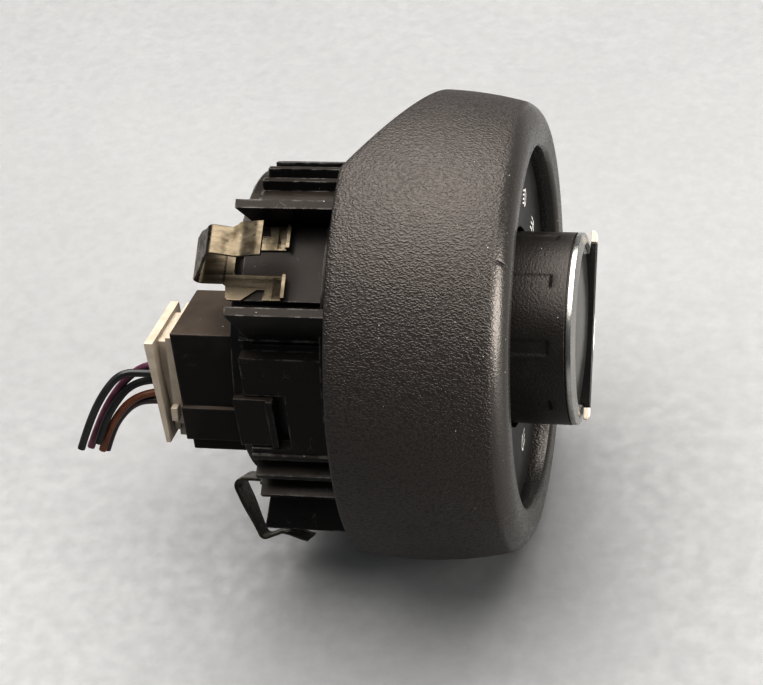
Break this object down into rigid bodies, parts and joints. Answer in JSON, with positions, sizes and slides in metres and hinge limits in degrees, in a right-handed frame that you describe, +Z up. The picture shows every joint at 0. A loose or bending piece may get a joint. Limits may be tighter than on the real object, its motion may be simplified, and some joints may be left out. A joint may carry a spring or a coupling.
{
  "type": "rotary light switch",
  "caption": "Dashboard rotary light switch: round knob with bright ring and grip bar in a grained trim bezel, ribbed housing with spring clips, rear connector with cut leads.",
  "frame": {"origin": "centre of the bezel's rear edge plane, on the knob's axis", "axes": "+X along the knob's axis towards the driver, +Z up as the switch lies on a bench, +Y away from the near side"},
  "size_m": [0.0944, 0.0874, 0.0874],
  "materials": {
    "bezel_grain": "matte leather-grained black plastic",
    "plate_black": "satin fine-textured black plastic",
    "housing_black": "semi-gloss glass-filled black plastic",
    "zinc_steel": "zinc-plated steel",
    "spring_steel": "olive passivated spring steel",
    "board_green": "solder-masked circuit board",
    "led_white": "moulded diode package",
    "clear_acrylic": "polished clear acrylic",
    "tinned_brass": "tin-plated brass",
    "natural_nylon": "natural nylon",
    "knob_black": "fine-grained soft-touch black plastic",
    "satin_chrome": "satin chrome",
    "dial_gloss": "gloss black plastic",
    "pearl_tip": "pearl white plastic",
    "plug_cream": "cream plastic",
    "wire_black": "PVC insulation",
    "wire_mauve": "PVC insulation",
    "wire_brown": "PVC insulation",
    "wire_dark": "PVC insulation"
  },
  "bodies": {
    "root": {"switch_housing": "housing_black", "bezel_ring": "bezel_grain", "face_plate": "plate_black", "rear_cover": "housing_black", "connector_shroud": "housing_black", "cover_screws": "zinc_steel", "cover_latch": "housing_black", "clip_base_near": "spring_steel", "clip_base_low": "spring_steel", "clip_base_far": "spring_steel", "circuit_board": "board_green", "indicator_leds": "led_white", "light_guides": "clear_acrylic", "terminal_pins": "tinned_brass", "detent_plunger": "zinc_steel", "detent_spring": "zinc_steel"},
    "rotor": {"rotor_hub": "natural_nylon", "rotor_circlip": "zinc_steel", "detent_drum": "natural_nylon", "contact_wipers": "tinned_brass"},
    "knob": {"knob_shell": "knob_black", "knob_ring": "satin_chrome", "knob_face": "dial_gloss", "grip_bar": "knob_black", "grip_tips": "pearl_tip", "knob_shaft": "natural_nylon", "shaft_clip": "zinc_steel"},
    "plug": {"plug_housing": "plug_cream", "plug_lock": "plug_cream", "plug_terminals": "tinned_brass", "wire_black_outer": "wire_black", "wire_mauve": "wire_mauve", "wire_black_inner": "wire_black", "wire_brown": "wire_brown", "wire_dark": "wire_dark"},
    "tongue_near": {"clip_tongue_near": "spring_steel"},
    "tongue_low": {"clip_tongue_low": "spring_steel"},
    "tongue_far": {"clip_tongue_far": "spring_steel"}
  },
  "joints": [
    {"name": "knob_turn", "type": "hinge", "parent": "root", "child": "rotor", "pos_m": [0, 0, 0], "axis": [-1, 0, 0], "range_deg": [-30, 60]},
    {"name": "knob_pull", "type": "slide", "parent": "rotor", "child": "knob", "axis": [1, 0, 0], "range_m": [0, 0.005]},
    {"name": "plug_slide", "type": "slide", "parent": "root", "child": "plug", "axis": [-1, 0, 0], "range_m": [0, 0.014]},
    {"name": "clip_flex_near", "type": "hinge", "parent": "root", "child": "tongue_near", "pos_m": [-0.0247, -0.0153, 0.02759], "axis": [0, 0.8746, 0.4848], "range_deg": [0, 10], "stiffness_Nm_per_rad": 0.2},
    {"name": "clip_flex_low", "type": "hinge", "parent": "root", "child": "tongue_low", "pos_m": [-0.0247, -0.01854, -0.02552], "axis": [0, -0.809, 0.5878], "range_deg": [0, 10], "stiffness_Nm_per_rad": 0.2},
    {"name": "clip_flex_far", "type": "hinge", "parent": "root", "child": "tongue_far", "pos_m": [-0.0247, 0.03147, -0.0022], "axis": [0, -0.0698, -0.9976], "range_deg": [0, 10], "stiffness_Nm_per_rad": 0.2}
  ]
}
